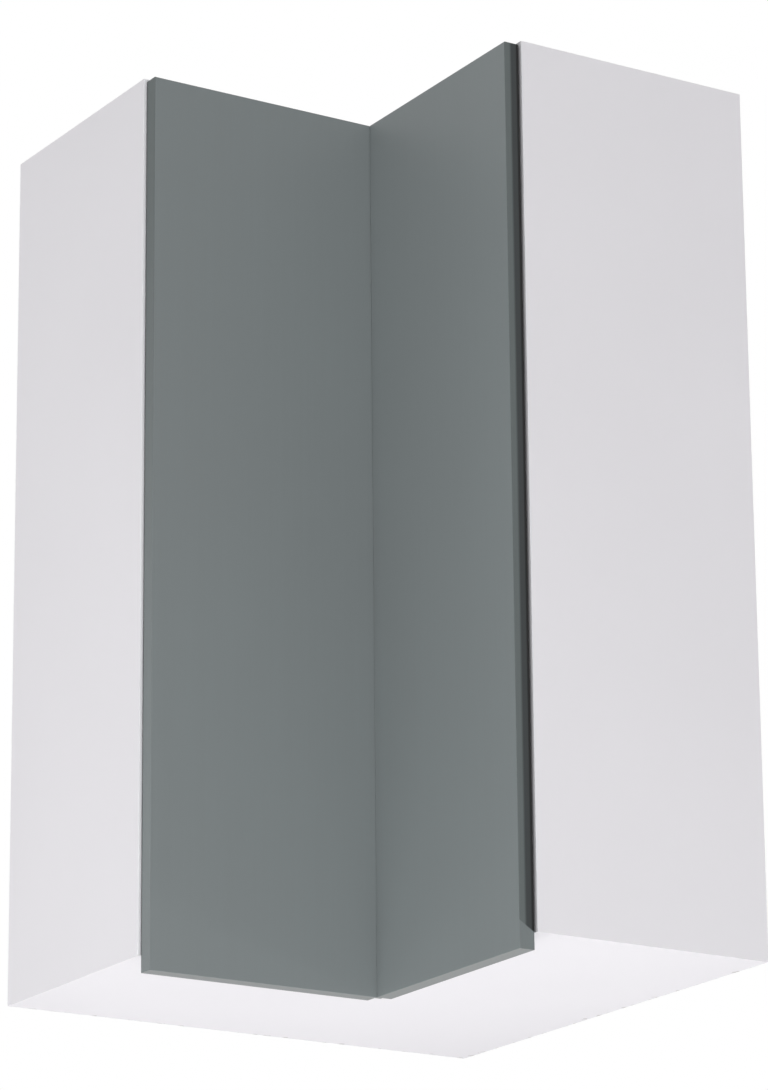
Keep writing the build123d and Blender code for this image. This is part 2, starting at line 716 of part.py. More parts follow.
bumper = door_gap - bumper_play
stop_heights = (board / 2, height - board / 2)
right_bumpers = [rod((door_end + bumper_from_end, -door_back, level), (0, 1, 0), bumper, bumper_radius)
                 for level in stop_heights]
left_bumpers = [rod((door_back, -(leg - board / 2), level), (-1, 0, 0), bumper, bumper_radius)
                for level in (bumper_from_end, height - bumper_from_end)]
save("right_door_bumpers", *right_bumpers)
save("left_door_bumpers", *left_bumpers)
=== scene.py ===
# %% [markdown]
# # A corner wall cabinet, dressed for the camera
# The cabinet was built beforehand as a CAD model: boards, fronts, hinges and fittings, all at full size.
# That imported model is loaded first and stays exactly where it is. Blender only adds what the eye needs:
# finishes, finely shaped fittings, light and a camera. The scene is in metres, with the corner of the two
# walls at the origin, +X along the right wall, -Y along the left wall and +Z up. The sizes of fittings are
# written in millimetres, as on a drawing, and MM turns them into metres.

# %% Load the cabinet
from math import cos, pi, radians, sin

import bpy
from mathutils import Matrix, Vector


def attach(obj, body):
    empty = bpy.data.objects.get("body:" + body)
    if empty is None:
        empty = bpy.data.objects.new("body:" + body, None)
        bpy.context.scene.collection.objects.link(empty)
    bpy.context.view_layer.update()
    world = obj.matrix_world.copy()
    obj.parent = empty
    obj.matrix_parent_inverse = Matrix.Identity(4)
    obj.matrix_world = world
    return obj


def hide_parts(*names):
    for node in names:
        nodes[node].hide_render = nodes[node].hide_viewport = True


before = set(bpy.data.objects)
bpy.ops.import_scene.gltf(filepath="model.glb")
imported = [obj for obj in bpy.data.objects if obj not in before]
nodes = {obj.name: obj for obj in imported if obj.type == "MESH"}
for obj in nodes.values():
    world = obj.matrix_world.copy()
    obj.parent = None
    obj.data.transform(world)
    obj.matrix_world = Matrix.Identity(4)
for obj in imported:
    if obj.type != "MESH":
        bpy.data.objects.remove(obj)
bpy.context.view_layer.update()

# %% [markdown]
# ## The camera
# The picture was taken from low down, in front of the open side of the corner and a little to the right,
# with a long lens. A camera turned in three plain steps gives that view: tilted up from looking straight
# down, swung round the upright axis, and rolled by a hair. The lens is stated for a frame whose long side
# is 36 mm, which is how Blender measures it.

# %% Camera
MM = 0.001                      # metres in a millimetre
picture_height = 1090           # pixels
focal_pixels = 4749.3
camera_place = Vector((4.5964, -2.9784, -1.0903))
camera_heading, camera_pitch, camera_roll = radians(57.98), radians(17.44), radians(-0.511)

bpy.ops.object.camera_add(location=camera_place)
camera = bpy.context.object
camera.name = "camera"
turn = (Matrix.Rotation(camera_heading, 4, "Z") @ Matrix.Rotation(pi / 2 + camera_pitch, 4, "X")
        @ Matrix.Rotation(camera_roll, 4, "Z"))
camera.rotation_euler = turn.to_euler()
camera.data.sensor_width = 36
camera.data.lens = focal_pixels * camera.data.sensor_width / picture_height
camera.data.clip_end = 200
bpy.context.scene.camera = camera
print("lens:", round(camera.data.lens, 1), "mm")

# %% [markdown]
# ## Shader maths in plain words
# A material is a graph of nodes, and its arithmetic is easiest to read as arithmetic. This small class
# wraps one socket, so that `1 - mask * 0.5` adds the Math nodes for it. Every other node comes from the
# one `node` method: its settings go in first, then the values or links of its sockets.

# %% Sockets that do arithmetic
class Wire:
    """One output socket in a material's node tree."""

    def __init__(self, tree, socket):
        self.tree = tree
        self.socket = socket

    def maths(self, operation, *values):
        return node(self.tree, "ShaderNodeMath", {"operation": operation}, dict(enumerate(values)))

    def __add__(self, other): return self.maths("ADD", self, other)
    def __sub__(self, other): return self.maths("SUBTRACT", self, other)
    def __mul__(self, other): return self.maths("MULTIPLY", self, other)
    def __rsub__(self, other): return self.maths("SUBTRACT", other, self)
    def __gt__(self, other): return self.maths("GREATER_THAN", self, other)
    def __lt__(self, other): return self.maths("LESS_THAN", self, other)
    def __abs__(self): return self.maths("ABSOLUTE", self)
    __radd__, __rmul__ = __add__, __mul__

    def wave(self, scale):
        return self.maths("SINE", self * scale)

    def either(self, other):
        return self.maths("MAXIMUM", self, other)

    def least(self, other):
        return self.maths("MINIMUM", self, other)

    def ramp(self, low, high):
        """0 below low, 1 above high and smooth between them."""
        return node(self.tree, "ShaderNodeMapRange", {"interpolation_type": "SMOOTHSTEP"},
                    {"Value": self, "From Min": low, "From Max": high})


def node(tree, kind, settings=None, inputs=None, output=0):
    """Add a node, apply its settings, fill its sockets and hand back one output."""
    made = tree.nodes.new(kind)
    for name, value in (settings or {}).items():
        setattr(made, name, value)
    for name, value in (inputs or {}).items():
        if isinstance(name, int):
            socket = made.inputs[name]
        else:
            socket = next(s for s in made.inputs if name in (s.identifier, s.name))
        if isinstance(value, Wire):
            tree.links.new(value.socket, socket)
        else:
            socket.default_value = value
    if isinstance(output, int):
        return Wire(tree, made.outputs[output])
    return Wire(tree, next(s for s in made.outputs if output in (s.identifier, s.name)))


# %% [markdown]
# Each finish below starts from the same bench: a new material, its main shader, and the place and facing of
# the surface on the piece. Places are Object coordinates, which on these pieces are the cabinet's own
# metres, so a pattern is never stretched and joins up from board to board.

# %% A bench for making finishes
class Finish:
    """A material with its shader and the handles that a finish needs."""

    def __init__(self, name, **constants):
        self.material = bpy.data.materials.new(name)
        self.material.use_nodes = True
        self.tree = self.material.node_tree
        self.shader = self.tree.nodes["Principled BSDF"]
        for socket, value in constants.items():
            self.shader.inputs[socket.replace("_", " ")].default_value = value
        self.place = node(self.tree, "ShaderNodeTexCoord", output="Object")
        self.facing = node(self.tree, "ShaderNodeTexCoord", output="Normal")

    def axes(self, vector):
        return [node(self.tree, "ShaderNodeSeparateXYZ", {}, {0: vector}, axis) for axis in range(3)]

    def noise(self, scale, detail=2.0, roughness=0.5, vector=None):
        return node(self.tree, "ShaderNodeTexNoise", {},
                    {"Vector": vector or self.place, "Scale": scale, "Detail": detail,
                     "Roughness": roughness})

    def stretched(self, x, y, z):
        return node(self.tree, "ShaderNodeMapping", {}, {"Vector": self.place, "Scale": (x, y, z)})

    def mix(self, factor, low, high):
        return node(self.tree, "ShaderNodeMix", {"data_type": "RGBA"},
                    {"Factor_Float": factor, "A_Color": low, "B_Color": high}, "Result_Color")

    def bump(self, height, distance):
        self.set("Normal", node(self.tree, "ShaderNodeBump", {},
                                {"Height": height, "Distance": distance}))

    def set(self, socket, wire):
        self.tree.links.new(wire.socket, self.shader.inputs[socket])


def colour(red, green, blue):
    """A shader colour from the 0-255 values that a picture shows."""
    def linear(level):
        level /= 255
        return level / 12.92 if level <= 0.04045 else ((level + 0.055) / 1.055) ** 2.4
    return (linear(red), linear(green), linear(blue), 1.0)


def dress(finish, *names):
    for name in names:
        nodes[name].data.materials.clear()
        nodes[name].data.materials.append(finish.material)
    print(finish.material.name, "on", ", ".join(names))


# %% [markdown]
# ## The fronts
# The two fronts are board wrapped in a matt, cool grey foil. Seen close, such a foil has a very fine grain
# that scatters the light, and over a whole door the tone drifts by a percent or two. A fine noise gives the
# grain as bump, a slow one the drift.
#
# The edges carry painted light and shade. The downward faces of the fronts are painted paler, as if lit
# from below. The outer edge of the right front has a light painted shade all over, a painted shadow of the
# carcass over its rear half and painted black shade where it meets the carcass; the shadow stops on a
# slant just above the bottom of the carcass. The outer edge of the left front has painted shade that deepens
# towards the top, and a thin line of painted near-black shade at its back. The lamps below leave the right
# edge as bright as the face beside it, with only a faint line at its back, so the painted shade carries the
# rest, measured from the back face of the front. It is laid by place, so it stays on the edges when the
# fronts are open, where no shadow would fall.

# %% Front finish
outer_edge, front_back_face = 0.5965, 0.298     # metres from the wall corner
slant, slant_blur = 0.6, 0.001                  # rise of the painted shadow's slant over its depth, and its soft width
right_edge_shading, left_gap_shading = 0.3, 0.7        # shares of the full painted shade
# where a painted shade fades, in metres: from the back face, and for left_dulls above the carcass bottom
shadow_fades, gap_shade_fades, left_gap_shade_fades = (0.0085, 0.0125), (0.0024, 0.0036), (0.0008, 0.0014)
left_dulls = (0.1, 0.95)


def make_front_finish():
    finish = Finish("front_foil_with_painted_shading", Specular_IOR_Level=0.35)
    x, y, z = finish.axes(finish.place)
    right_edge, left_edge = x > outer_edge, 0 - y > outer_edge
    right_depth, left_depth = 0 - y - front_back_face, x - front_back_face
    # painted shadow of the carcass on the right front's outer edge, stopping on a slant above the carcass
    # bottom
    carcass_shadow = right_edge * (z - slant * right_depth).ramp(-slant_blur, slant_blur)
    # painted shade: light over the whole right outer edge, and on the left outer edge deepening towards the
    # top
    dull = carcass_shadow.either(right_edge_shading * right_edge).either(left_edge * z.ramp(*left_dulls))
    # darker painted shadow over the rear half of the right outer edge
    dark = carcass_shadow * (1 - right_depth.ramp(*shadow_fades))
    # painted black shade in the gaps at the back of both outer edges
    gap_shade = (carcass_shadow * (1 - right_depth.ramp(*gap_shade_fades))).either(
        left_gap_shading * left_edge * (z > 0) * (1 - left_depth.ramp(*left_gap_shade_fades)))
    # painted light: faces of the fronts that look down are painted paler, as if lit from below
    underside = finish.axes(finish.facing)[2] < -0.7

    drift = finish.noise(3.0, 3.0)
    streaks = finish.noise(1.0, 2.0, 0.6, finish.stretched(220, 220, 2.5))
    grain = finish.noise(1400.0, 2.0, 0.6)
    tone = (0.45 * drift + 0.2 * streaks + 0.35 * grain).ramp(0.3, 0.7)
    # the foil's own colour with its drift and grain; the mixes after it lay painted light and shade over it
    foil_with_painted_shading = finish.mix(tone, colour(123, 129, 130), colour(125, 132, 133))
    # painted light on the downward faces
    foil_with_painted_shading = finish.mix(underside, foil_with_painted_shading, colour(136, 139, 139))
    # painted shade, painted shadow and painted black gap shade on the outer edges
    foil_with_painted_shading = finish.mix(dull, foil_with_painted_shading, colour(95, 102, 102))
    foil_with_painted_shading = finish.mix(dark, foil_with_painted_shading, colour(52, 56, 57))
    finish.set("Base Color", finish.mix(gap_shade, foil_with_painted_shading, colour(4, 4, 4)))
    finish.set("Roughness", 0.46 + 0.12 * drift)
    finish.bump(grain, 0.00003)
    return finish


front_finish = make_front_finish()
dress(front_finish, "right_door", "left_door")


# %% [markdown]
# ## The carcass boards
# The carcass is chipboard faced with white melamine paper. The face has a soft pearl texture and a breath
# of lavender in its white. Where a board was sawn or drilled, the core shows: flat flakes of wood in glue.
# One finish serves each way that a board lies. Its mask is 1 on the core, which is any surface that does
# not face along the board's thickness, apart from the ends that the maker edges in white. The saw chips the
# melamine a little along the rear edges of the flat boards, which shows from below as a few grey specks.

# %% Melamine board finish
cabinet_height, end_skin = 1.0, 0.0002      # metres; surfaces this near to an end have white edging
chip_reach, chip_start = 0.03, 0.54         # metres per unit of noise, and the noise that starts a chip


def chipboard_core(finish):
    """Colour of the sawn core: pale flakes of several sizes in darker glue."""
    flakes = node(finish.tree, "ShaderNodeTexVoronoi", {"feature": "F1"},
                  {"Vector": finish.place, "Scale": 420.0, "Randomness": 1.0}, "Color")
    tone = finish.axes(flakes)[0]
    crumbs = finish.noise(1100.0, 3.0, 0.7)
    light = finish.mix(tone, colour(176, 146, 104), colour(214, 190, 150))
    return finish.mix(crumbs.ramp(0.52, 0.72) * 0.6, light, colour(120, 92, 62))


def make_board_finish(name, thickness_axis, edged_axis=None):
    """thickness_axis is 0, 1 or 2; ends that face edged_axis have white edging."""
    finish = Finish(name, Specular_IOR_Level=0.45)
    facing = finish.axes(finish.facing)
    core = abs(facing[thickness_axis]) < 0.5
    if edged_axis is not None:
        place = finish.axes(finish.place)[edged_axis]
        at_end = (place < end_skin).either(place > cabinet_height - end_skin)
        core = core * (1 - at_end)
    drift = finish.noise(2.2, 2.0)
    pearl = finish.noise(650.0, 2.0, 0.45)
    face = finish.mix(drift.ramp(0.3, 0.7), colour(233, 231, 235), colour(236, 234, 238))
    if thickness_axis == 2:
        x, y, _ = finish.axes(finish.place)
        from_rear = x.least(0 - y)
        chipped = from_rear < chip_reach * (finish.noise(80.0, 1.0) - chip_start)
        face = finish.mix(0.6 * chipped, face, colour(176, 170, 168))
    finish.set("Base Color", finish.mix(core, face, chipboard_core(finish)))
    finish.set("Roughness", 0.40 + 0.10 * pearl + 0.35 * core)
    finish.bump(pearl + core * finish.noise(900.0, 3.0, 0.7) * 3.0, 0.00004)
    return finish


dress(make_board_finish("melamine_right_end", 0, 2), "right_end_panel")
dress(make_board_finish("melamine_left_end", 1, 2), "left_end_panel")
dress(make_board_finish("melamine_flat", 2), "bottom_board", "top_board", "lower_shelf", "upper_shelf")


# %% [markdown]
# ## Edge bands
# A millimetre of white plastic is glued along every front edge. It is a touch smoother and cooler than
# the melamine, and the machine that trims it leaves faint lines along its length. Beside the right front
# its face carries a painted grey shade, standing for the shadow of that front.

# %% Edge band finish
right_panel_inside = 0.584                      # metres from the wall corner


def make_band_finish():
    finish = Finish("edge_band_with_painted_shade", Specular_IOR_Level=0.5)
    drift = finish.noise(5.0)
    lines = finish.noise(1.0, 2.0, 0.6, finish.stretched(2600, 2600, 12))
    white = finish.mix(drift, colour(229, 229, 232), colour(234, 234, 237))
    across, outward = finish.axes(finish.place)[0], finish.axes(finish.facing)[1]
    # painted shade: the band's face beside the right front is painted grey where the front shades it
    front_shadow_strip = (across > right_panel_inside) * (outward < -0.5)
    finish.set("Base Color", finish.mix(front_shadow_strip, white, colour(186, 185, 188)))
    finish.set("Roughness", 0.32 + 0.12 * lines)
    finish.bump(lines, 0.000012)
    return finish


band_finish = make_band_finish()
dress(band_finish, "right_end_band", "left_end_band", "bottom_bands", "top_bands",
      "lower_shelf_bands", "upper_shelf_bands")


# %% [markdown]
# ## Backs and battens
# The backs are 3 mm hardboard. The side that faces the shelves is painted white, and the side that faces
# the wall is bare brown fibre with the print of the press's wire mesh. The battens behind them are the
# same chipboard as the boards, left raw.

# %% Back and batten finishes
def make_back_finish(name, axis, wall_side):
    """wall_side is the direction along the axis, 1 or -1, in which the wall lies."""
    finish = Finish(name, Specular_IOR_Level=0.4)
    toward_wall = finish.axes(finish.facing)[axis] * wall_side
    bare = toward_wall > -0.5
    fibres = finish.noise(1.0, 4.0, 0.65, finish.stretched(500, 500, 120))
    along, up = finish.axes(finish.place)[1 - axis], finish.axes(finish.place)[2]
    mesh = abs(along.wave(1900)) * abs(up.wave(1900))
    brown = finish.mix(fibres.ramp(0.3, 0.7), colour(122, 88, 56), colour(158, 120, 80))
    paint = finish.mix(finish.noise(2.0), colour(231, 230, 232), colour(235, 234, 236))
    finish.set("Base Color", finish.mix(bare, paint, brown))
    finish.set("Roughness", 0.42 + 0.38 * bare)
    finish.bump(bare * (mesh + fibres) + (1 - bare) * finish.noise(500.0) * 0.3, 0.00008)
    return finish


def make_batten_finish():
    finish = Finish("raw_chipboard", Roughness=0.85, Specular_IOR_Level=0.3)
    finish.set("Base Color", chipboard_core(finish))
    finish.bump(finish.noise(900.0, 3.0, 0.7), 0.00015)
    return finish


dress(make_back_finish("hardboard_right", 1, 1), "right_back")
dress(make_back_finish("hardboard_left", 0, -1), "left_back")
dress(make_batten_finish(), "right_corner_batten", "left_corner_batten")


# %% [markdown]
# ## Metal, plastic, rubber and beech
# The fittings are small, so what tells them apart is how they shine. Pressed steel and castings are nickel
# plated: the casting is grainier and duller. Screws have the faint yellow of zinc. The caps and hanger
# housings are moulded white plastic, the bumpers clear rubber, and the dowels grooved beech.

# %% Fitting finishes
def make_metal_finish(name, dark, light, roughness, grain_scale, grain_depth):
    finish = Finish(name, Metallic=1.0)
    cloud = finish.noise(60.0, 3.0)
    grain = finish.noise(grain_scale, 2.0, 0.6)
    finish.set("Base Color", finish.mix(cloud, dark, light))
    finish.set("Roughness", roughness + 0.16 * cloud)
    finish.bump(grain, grain_depth)
    return finish


def make_plastic_finish(name, low, high, roughness, **constants):
    finish = Finish(name, **constants)
    finish.set("Base Color", finish.mix(finish.noise(40.0), low, high))
    finish.set("Roughness", roughness + 0.12 * finish.noise(90.0))
    finish.bump(finish.noise(1500.0, 2.0, 0.5), 0.00002)
    return finish


def make_beech_finish():
    finish = Finish("beech", Specular_IOR_Level=0.3)
    pores = finish.noise(1.0, 3.0, 0.6, finish.stretched(1500, 1500, 300))
    finish.set("Base Color", finish.mix(pores.ramp(0.35, 0.65), colour(196, 156, 108),
                                        colour(222, 188, 144)))
    finish.set("Roughness", 0.62 + 0.15 * pores)
    finish.bump(pores, 0.0001)
    return finish


pressed_steel = make_metal_finish("nickel_pressed_steel", (0.50, 0.50, 0.50, 1), (0.62, 0.61, 0.60, 1),
                                  0.24, 900.0, 0.00001)
zinc_casting = make_metal_finish("nickel_casting", (0.44, 0.44, 0.45, 1), (0.56, 0.56, 0.56, 1),
                                 0.38, 1600.0, 0.00004)
screw_steel = make_metal_finish("zinc_screw_steel", (0.52, 0.50, 0.44, 1), (0.66, 0.64, 0.58, 1),
                                0.28, 1200.0, 0.00002)
white_plastic = make_plastic_finish("white_plastic", colour(232, 232, 232), colour(238, 238, 238), 0.36)
clear_rubber = make_plastic_finish("clear_rubber", colour(205, 205, 205), colour(222, 222, 222), 0.30,
                                   Transmission_Weight=0.5, IOR=1.45)

dress(pressed_steel, "hanger_hooks", "hinge_arms", "hinge_arm_links", "hinge_cup_links", "hinge_cups",
      "fold_arms", "fold_arm_links", "fold_cup_links", "fold_cups")
dress(zinc_casting, "cam_discs", "shelf_pins", "hinge_plates", "fold_plates")
dress(screw_steel, "back_screws", "cam_bolts", "hanger_screws", "hinge_plate_screws", "hinge_arm_screws",
      "hinge_cup_screws", "fold_plate_screws", "fold_arm_screws", "fold_cup_screws")
dress(white_plastic, "cam_caps", "hanger_housings", "hanger_covers")
dress(clear_rubber, "right_door_bumpers", "left_door_bumpers")
dress(make_beech_finish(), "carcass_dowels")

# %% [markdown]
# ## Turned pieces
# Screws, cam discs, cover caps and bumpers are all round, and a round piece can be raised like a pot on a
# wheel: start with a flat disc, then extrude its rim up or down and scale it, ring after ring. The list of
# rings is the piece's outline. A lathe modifier would do the same, but with rings each step can be read.

# %% The wheel
def leave_only(piece):
    """Select one object and make it the active one."""
    bpy.ops.object.select_all(action="DESELECT")
    piece.select_set(True)
    bpy.context.view_layer.objects.active = piece


def raise_rings(name, rings, sides=28):
    """A closed round piece about the Z axis. rings are (radius, level) pairs in mm, lowest first."""
    radius, level = rings[0]
    bpy.ops.object.select_all(action="DESELECT")
    bpy.ops.mesh.primitive_circle_add(vertices=sides, radius=radius * MM, fill_type="NGON",
                                      location=(0, 0, level * MM))
    piece = bpy.context.object
    piece.name = name
    bpy.ops.object.transform_apply()
    bpy.ops.object.mode_set(mode="EDIT")
    bpy.ops.mesh.select_all(action="SELECT")
    for next_radius, next_level in rings[1:]:
        bpy.ops.mesh.extrude_region_move(
            TRANSFORM_OT_translate={"value": (0, 0, (next_level - level) * MM)})
        ratio = next_radius / radius
        bpy.ops.transform.resize(value=(ratio, ratio, 1))
        radius, level = next_radius, next_level
    bpy.ops.mesh.select_all(action="SELECT")
    bpy.ops.mesh.normals_make_consistent(inside=False)
    bpy.ops.object.mode_set(mode="OBJECT")
    return piece


def cut_away(piece, cutter):
    """Take the cutter's shape out of the piece, then remove the cutter."""
    leave_only(piece)
    cut = piece.modifiers.new("cut", "BOOLEAN")
    cut.operation = "DIFFERENCE"
    cut.solver = "EXACT"
    cut.object = cutter
    bpy.ops.object.modifier_apply(modifier=cut.name)
    bpy.data.objects.remove(cutter)


def make_block(low, high):
    """A block between two corners, given in mm."""
    middle = [(a + b) / 2 * MM for a, b in zip(low, high)]
    size = [abs(b - a) * MM for a, b in zip(low, high)]
    bpy.ops.object.select_all(action="DESELECT")
    bpy.ops.mesh.primitive_cube_add(size=1, location=middle, scale=size)
    block = bpy.context.object
    bpy.ops.object.transform_apply()
    return block


# %% [markdown]
# A driver fits a cross recess. It is cut with two crossed wedges, narrow at their foot, so each wedge is a
# block whose lowest face is scaled down before it cuts.

# %% Cross recess
def cut_cross(piece, top, reach, width, deep):
    """Cross recess in a flat top at that level, all in mm."""
    for long_x, long_y in ((reach, width), (width, reach)):
        wedge = make_block((-long_x, -long_y, top - deep), (long_x, long_y, top + 1))
        leave_only(wedge)
        bpy.ops.object.mode_set(mode="EDIT")
        bpy.ops.mesh.select_all(action="DESELECT")
        bpy.ops.object.mode_set(mode="OBJECT")
        for face in wedge.data.polygons:
            face.select = face.normal.z < -0.5
        bpy.ops.object.mode_set(mode="EDIT")
        bpy.ops.transform.resize(value=(0.6, 0.6, 1))
        bpy.ops.object.mode_set(mode="OBJECT")
        cut_away(piece, wedge)


def smooth(piece, degrees=35):
    leave_only(piece)
    bpy.ops.object.shade_smooth_by_angle(angle=radians(degrees))


# %% [markdown]
# ## Screws
# Every screw here has a low rounded head with a cross recess. Below it the shank carries a coarse thread
# for chipboard. The thread is raised as rings that swell and shrink, which is all that an eye at arm's
# length can tell, and the tip tapers to a blunt point.

# %% One screw of any size
def make_screw(name, head_radius, head_height, shank_radius, shank_length):
    """Head above level 0 and shank below it, in mm."""
    pitch = 1.6
    turns = int((shank_length - 3) / pitch)
    core = shank_radius * 0.76
    rings = [(core * 0.3, -shank_length), (core, -shank_length + 1.6)]
    for turn in range(turns):
        foot = -shank_length + 1.8 + turn * pitch
        rings += [(core, foot), (shank_radius, foot + pitch * 0.4), (shank_radius, foot + pitch * 0.55),
                  (core, foot + pitch * 0.9)]
    rings += [(shank_radius, -0.6), (shank_radius, 0), (head_radius, 0.01)]
    for step in range(5):
        angle = radians(18 + 16 * step)
        rings.append((head_radius * (0.72 + 0.28 * cos(angle)), head_height * (0.35 + 0.65 * sin(angle))))
    rings.append((head_radius * 0.66, head_height))
    screw = raise_rings(name, rings)
    cut_cross(screw, head_height, head_radius * 0.52, head_radius * 0.13, head_height * 0.75)
    return screw


# %% [markdown]
# One screw is modelled for each kind, then a copy with its own mesh goes to every hole and the copies are
# joined. A place is where the head meets what it holds, and a direction is the way that the head looks.

# %% Setting copies
def set_copies(model, name, places):
    """places are (point in mm, direction) pairs. The copies become one piece at the origin."""
    copies = []
    for point, direction in places:
        leave_only(model)
        bpy.ops.object.duplicate()
        copy = bpy.context.object
        copy.rotation_euler = Vector(direction).to_track_quat("Z", "Y").to_euler()
        copy.location = Vector(point) * MM
        bpy.ops.object.transform_apply()
        copies.append(copy)
    bpy.data.objects.remove(model)
    bpy.ops.object.select_all(action="DESELECT")
    for copy in copies:
        copy.select_set(True)
    bpy.context.view_layer.objects.active = copies[0]
    bpy.ops.object.join()
    piece = bpy.context.object
    piece.name = name
    return piece


def hand_over(piece, node_name, body, finish):
    """Dress the piece, let it ride on its body and let it stand for its CAD node."""
    smooth(piece)
    piece.data.materials.clear()
    piece.data.materials.append(finish.material)
    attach(piece, body)
    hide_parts(node_name)
    print(piece.name, "for", node_name, "on", body, len(piece.data.polygons), "faces")


# %% Where the hinges and their screws are, in mm
hinge_levels = (160, 512, 864)
panel_inside, front_back = 584, 298     # inner face of an end panel, back face of a front
plate_line, plate_foot = 259, 353.4     # middle of the plates on the panel and on the right front
hinge_cup, fold_cup = 575, 338.4        # middle of the cups from the wall corner
plate_screw_rise, cup_screw_rise, cup_screw_in = 16, 24, 6
wing, flange, arm_top = 2.0, 1.2, 15.5  # height of plate wing, cup flange and arm above their board


def pairs(rise):
    return [level + way * rise for level in hinge_levels for way in (-1, 1)]


# head radius, head height, shank radius, shank length
plate_screw, cup_screw, arm_screw = (4.4, 1.6, 2.5, 13.0), (3.5, 1.2, 1.75, 12.2), (3.4, 1.8, 2.0, 8.5)
screw_sets = (
    ("hinge_plate_screws", "carcass", plate_screw, (-1, 0, 0),
     [(panel_inside - wing, -plate_line, level) for level in pairs(plate_screw_rise)]),
    ("fold_plate_screws", "right_door", plate_screw, (0, 1, 0),
     [(plate_foot, wing - front_back, level) for level in pairs(plate_screw_rise)]),
    ("hinge_cup_screws", "right_door", cup_screw, (0, 1, 0),
     [(hinge_cup - cup_screw_in, flange - front_back, level) for level in pairs(cup_screw_rise)]),
    ("fold_cup_screws", "left_door", cup_screw, (-1, 0, 0),
     [(front_back - flange, -fold_cup - cup_screw_in, level) for level in pairs(cup_screw_rise)]),
    ("hinge_arm_screws", "carcass", arm_screw, (-1, 0, 0),
     [(panel_inside - arm_top, -plate_line, level) for level in hinge_levels]),
    ("fold_arm_screws", "right_door", arm_screw, (0, 1, 0),
     [(plate_foot, arm_top - front_back, level) for level in hinge_levels]),
)

for node_name, body, sizes, direction, points in screw_sets:
    screws = set_copies(make_screw("screw", *sizes), "fine_" + node_name,
                        [(point, direction) for point in points])
    hand_over(screws, node_name, body, screw_steel)

# %% [markdown]
# The backs are screwed to the battens in the corner, three screws each. The hangers have two adjusting
# screws each, sunk in the front of their housings.

# %% Back and hanger screws
back_face, back_screw_line, back_screw_levels = 19, 68, (60, 500, 940)
hanger_line, hanger_front, hanger_level = 575, 59, 944
adjuster_depth, adjuster_rises = 2, (-15, 15)   # seats behind the housing's front, and off its middle
back_screw, adjuster = (3.5, 1.2, 1.7, 14.0), (4.2, 2.0, 2.5, 12.0)


def both_legs(points_right, direction_right):
    """The same places on the right-hand leg and, mirrored in the corner, on the left-hand leg."""
    x, y, z = direction_right
    right = [(point, direction_right) for point in points_right]
    left = [((-point[1], -point[0], point[2]), (-y, -x, z)) for point in points_right]
    return right + left


back_screws = set_copies(make_screw("screw", *back_screw), "fine_back_screws",
                         both_legs([(back_screw_line, -back_face, level) for level in back_screw_levels],
                                   (0, -1, 0)))
hand_over(back_screws, "back_screws", "carcass", screw_steel)

adjusters = set_copies(make_screw("screw", *adjuster), "fine_hanger_screws",
                       both_legs([(hanger_line, adjuster_depth - hanger_front, hanger_level + rise)
                                  for rise in adjuster_rises], (0, -1, 0)))
hand_over(adjusters, "hanger_screws", "carcass", screw_steel)

# %% [markdown]
# ## Cams, caps and bumpers
# A cam disc is a casting with a mouth in its side for the head of the bolt, and a deep cross on top. The
# cams in the bottom are hidden by caps with a rolled rim. A bumper is a clear drop of rubber, so its rings
# follow a curve a little fuller than a quarter of an ellipse.

# %% Cam discs and their caps
cam_lines, cam_from_corner, cam_tall, board_thick, cabinet_top = (60, 236), 550, 12.5, 16, 1000
mouth_half, mouth_reach = 3.4, 9


def make_cam():
    """Top at level 0, mouth towards +X."""
    rings = [(6.9, -cam_tall), (7.4, -cam_tall + 0.5), (7.4, -0.4), (7.0, 0)]
    cam = raise_rings("cam", rings, 48)
    cut_away(cam, make_block((-mouth_half, -mouth_half, -board_thick / 2 - mouth_half),
                             (mouth_reach, mouth_half, -board_thick / 2 + mouth_half)))
    cut_cross(cam, top=0, reach=4.6, width=0.8, deep=3.0)
    return cam


def turn_about_upright(piece, degrees):
    leave_only(piece)
    piece.rotation_euler = (0, 0, radians(degrees))
    bpy.ops.object.transform_apply()
    return piece


cam_spots = [(line, top) for line in cam_lines for top in (board_thick, cabinet_top)]
right_cams = set_copies(make_cam(), "right_cams",
                        [((cam_from_corner, -line, top), (0, 0, 1)) for line, top in cam_spots])
left_cams = set_copies(turn_about_upright(make_cam(), -90), "left_cams",
                       [((line, -cam_from_corner, top), (0, 0, 1)) for line, top in cam_spots])
hand_over(right_cams, "cam_discs", "carcass", zinc_casting)
hand_over(left_cams, "cam_discs", "carcass", zinc_casting)

cap_rings = [(8.6, 0), (8.6, 0.35), (8.5, 0.62), (8.2, 0.85), (7.7, 0.97), (7.0, 1.0), (1.0, 0.96)]
caps = set_copies(raise_rings("cap", cap_rings, 48), "fine_cam_caps",
                  both_legs([(cam_from_corner, -line, board_thick) for line in cam_lines], (0, 0, 1)))
hand_over(caps, "cam_caps", "carcass", white_plastic)


# %% Bumpers
def make_bumper():
    """A drop of rubber that fills the gap behind a front, less a little play."""
    steps, radius, tall = 7, 4.0, 1.8
    angles = [radians(90 * step / steps) for step in range(steps)]
    rings = [(radius * cos(angle) ** 0.7, tall * (0.15 + 0.85 * sin(angle))) for angle in angles]
    return raise_rings("bumper", [(radius, 0)] + rings + [(0.6, tall)], 32)


